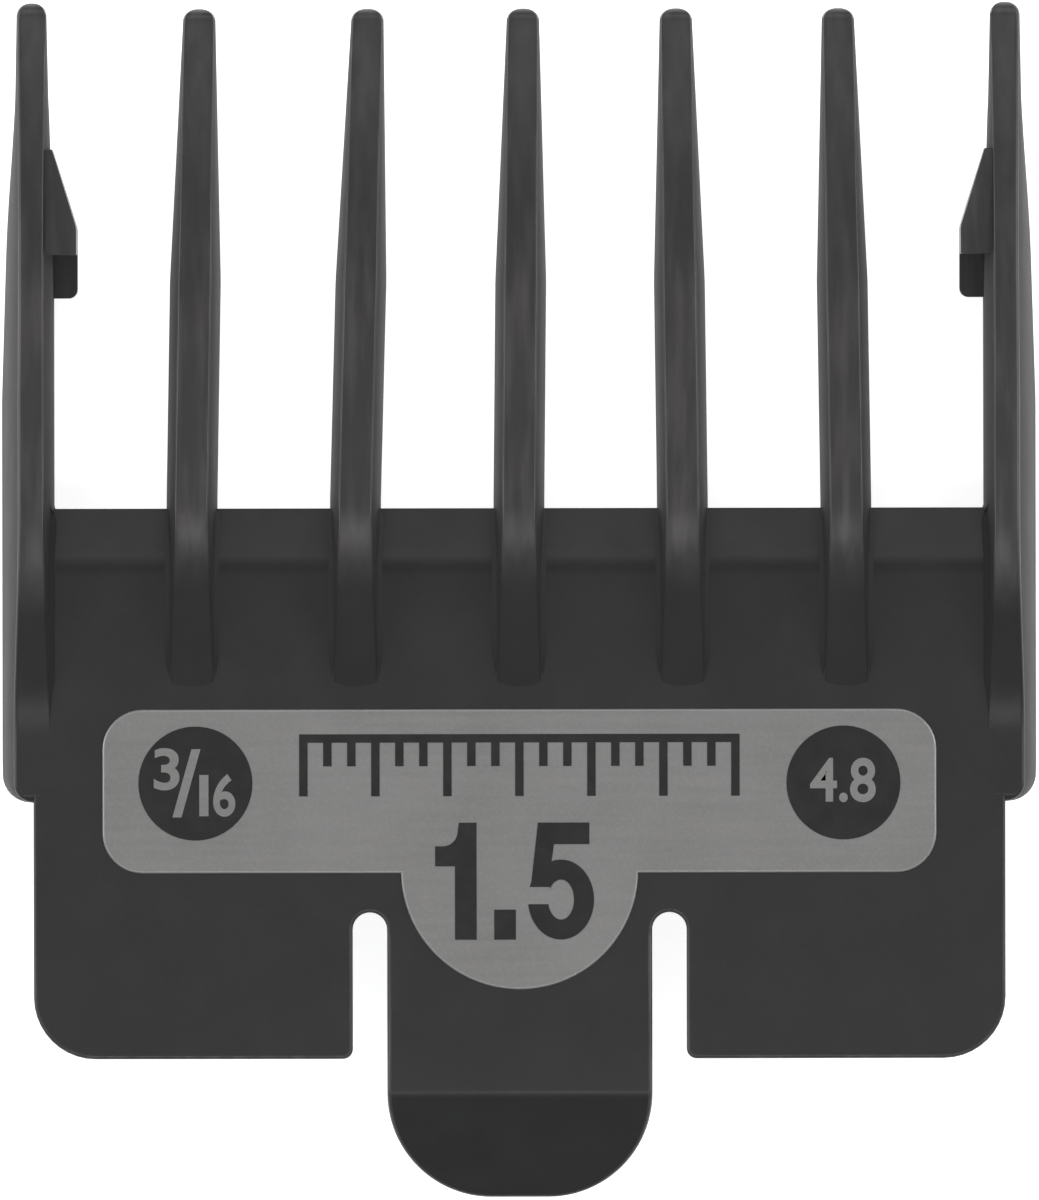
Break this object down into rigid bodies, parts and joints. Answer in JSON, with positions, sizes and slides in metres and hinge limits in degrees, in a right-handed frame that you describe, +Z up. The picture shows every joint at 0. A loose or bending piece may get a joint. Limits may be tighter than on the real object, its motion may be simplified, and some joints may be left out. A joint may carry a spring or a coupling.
{
  "type": "clipper guard comb",
  "caption": "Black moulded clip-on hair clipper guard comb with tapered teeth, a blade pocket, front hooks, a flexing latch tongue and a foil size label.",
  "frame": {"origin": "middle of the comb's length and width, on the surface it rests on", "axes": "+X across the comb, +Y towards the tooth tips, +Z up through the label, away from the clipper blade"},
  "size_m": [0.0518, 0.0598, 0.0089],
  "materials": {
    "black_nylon": "fine moulded satin",
    "label_foil": "brushed satin foil",
    "label_ink": "matte printed ink"
  },
  "bodies": {
    "comb": {"base_plate": "black_nylon", "tongue_root": "black_nylon", "left_outer_tooth": "black_nylon", "right_outer_tooth": "black_nylon", "left_cheek_wall": "black_nylon", "right_cheek_wall": "black_nylon", "left_front_hook": "black_nylon", "right_front_hook": "black_nylon", "left_tooth_1": "black_nylon", "left_tooth_2": "black_nylon", "middle_tooth": "black_nylon", "right_tooth_1": "black_nylon", "right_tooth_2": "black_nylon", "label": "label_foil", "left_size_disc": "label_ink", "right_size_disc": "label_ink", "size_number": "label_ink", "scale_marks": "label_ink"},
    "tongue": {"spring_tongue": "black_nylon", "latch_barb": "black_nylon", "thumb_tab": "black_nylon"}
  },
  "joints": [
    {"name": "tongue_flex", "type": "hinge", "parent": "comb", "child": "tongue", "pos_m": [0, -0.0205, 0.00575], "axis": [-1, 0, 0], "range_deg": [-3, 10], "stiffness_Nm_per_rad": 0.4}
  ]
}
